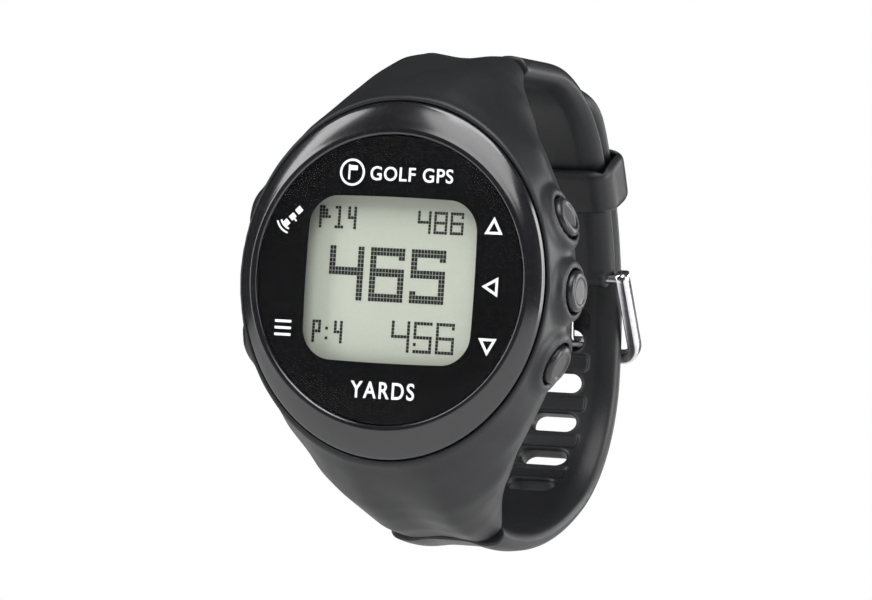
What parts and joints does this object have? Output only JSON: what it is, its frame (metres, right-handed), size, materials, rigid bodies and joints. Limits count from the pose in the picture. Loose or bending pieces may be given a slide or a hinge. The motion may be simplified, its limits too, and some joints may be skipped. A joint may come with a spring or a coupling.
{
  "type": "golf gps watch",
  "caption": "Round-faced golf GPS watch worn shut: display behind a printed lens, sprung side buttons, slotted strap, pin buckle and keeper.",
  "frame": {"origin": "middle of the caseback's outer flat face, which lies on the wrist", "axes": "+X towards 3 o'clock, +Z towards 12 o'clock, +Y out of the caseback into the strap's loop; the glass faces -Y"},
  "size_m": [0.0501, 0.0685, 0.0677],
  "materials": {
    "housing": "matte rubber-coated moulding, satin, fine grain",
    "strap": "matte moulded polyurethane rubber",
    "bezel": "gloss black moulded ring",
    "lens": "hard gloss, black printed border round a clear window",
    "gasket": "soft black seal",
    "display": "grey-green reflective liquid crystal panel",
    "frame_plastic": "white moulded holder",
    "contact_rubber": "striped conductive rubber",
    "board": "green solder mask",
    "chips": "black moulded packages",
    "antenna": "ceramic patch with a silvered face",
    "battery": "foil pouch",
    "switch": "black switch bodies",
    "seal": "soft black seals",
    "back": "fine matte moulding",
    "steel": "bright satin stainless steel",
    "screw_steel": "dark stainless steel",
    "gold": "gold-plated contacts",
    "button": "semi-gloss black caps",
    "spring_steel": "spring wire"
  },
  "bodies": {
    "root": {"case_shell": "housing", "bezel_ring": "bezel", "lens": "lens", "lens_gasket": "gasket", "lcd_holder": "frame_plastic", "lcd_panel": "display", "contact_strips": "contact_rubber", "main_board": "board", "board_chips": "chips", "gps_antenna": "antenna", "battery": "battery", "button_switches": "switch", "button_seals": "seal", "caseback": "back", "caseback_gasket": "gasket", "caseback_screws": "screw_steel", "charge_contacts": "gold", "contact_pins": "gold", "strap_upper": "strap", "strap_lower": "strap", "lug_bars": "steel", "buckle_bar": "steel", "up_button_spring": "spring_steel", "back_button_spring": "spring_steel", "down_button_spring": "spring_steel", "gps_button_spring": "spring_steel", "menu_button_spring": "spring_steel"},
    "up_button": {"up_button": "button", "up_button_clip": "spring_steel"},
    "back_button": {"back_button": "button", "back_button_clip": "spring_steel"},
    "down_button": {"down_button": "button", "down_button_clip": "spring_steel"},
    "gps_button": {"gps_button": "button", "gps_button_clip": "spring_steel"},
    "menu_button": {"menu_button": "button", "menu_button_clip": "spring_steel"},
    "buckle": {"buckle_frame": "steel"},
    "tongue": {"buckle_tongue": "steel"},
    "keeper": {"keeper": "strap"}
  },
  "joints": [
    {"name": "up_button_press", "type": "slide", "parent": "root", "child": "up_button", "axis": [-0.9135, 0, -0.4067], "range_m": [0, 0.0006], "stiffness_N_per_m": 800, "springref_m": -0.0012, "deforming": ["up_button_spring"]},
    {"name": "back_button_press", "type": "slide", "parent": "root", "child": "back_button", "axis": [-1, 0, 0], "range_m": [0, 0.0006], "stiffness_N_per_m": 800, "springref_m": -0.0012, "deforming": ["back_button_spring"]},
    {"name": "down_button_press", "type": "slide", "parent": "root", "child": "down_button", "axis": [-0.9135, 0, 0.4067], "range_m": [0, 0.0006], "stiffness_N_per_m": 800, "springref_m": -0.0012, "deforming": ["down_button_spring"]},
    {"name": "gps_button_press", "type": "slide", "parent": "root", "child": "gps_button", "axis": [0.9135, 0, -0.4067], "range_m": [0, 0.0006], "stiffness_N_per_m": 800, "springref_m": -0.0012, "deforming": ["gps_button_spring"]},
    {"name": "menu_button_press", "type": "slide", "parent": "root", "child": "menu_button", "axis": [0.9135, 0, 0.4067], "range_m": [0, 0.0006], "stiffness_N_per_m": 800, "springref_m": -0.0012, "deforming": ["menu_button_spring"]},
    {"name": "buckle_hinge", "type": "hinge", "parent": "root", "child": "buckle", "pos_m": [0, 0.0444, 0.00361], "axis": [1, 0, 0], "range_deg": [0, 2]},
    {"name": "tongue_hinge", "type": "hinge", "parent": "buckle", "child": "tongue", "pos_m": [0, 0.0444, 0.00361], "axis": [1, 0, 0], "range_deg": [0, 4.5]},
    {"name": "keeper_slide", "type": "hinge", "parent": "root", "child": "keeper", "pos_m": [0, -0.0125, -0.011], "axis": [1, 0, 0], "range_deg": [-7, 2]}
  ]
}
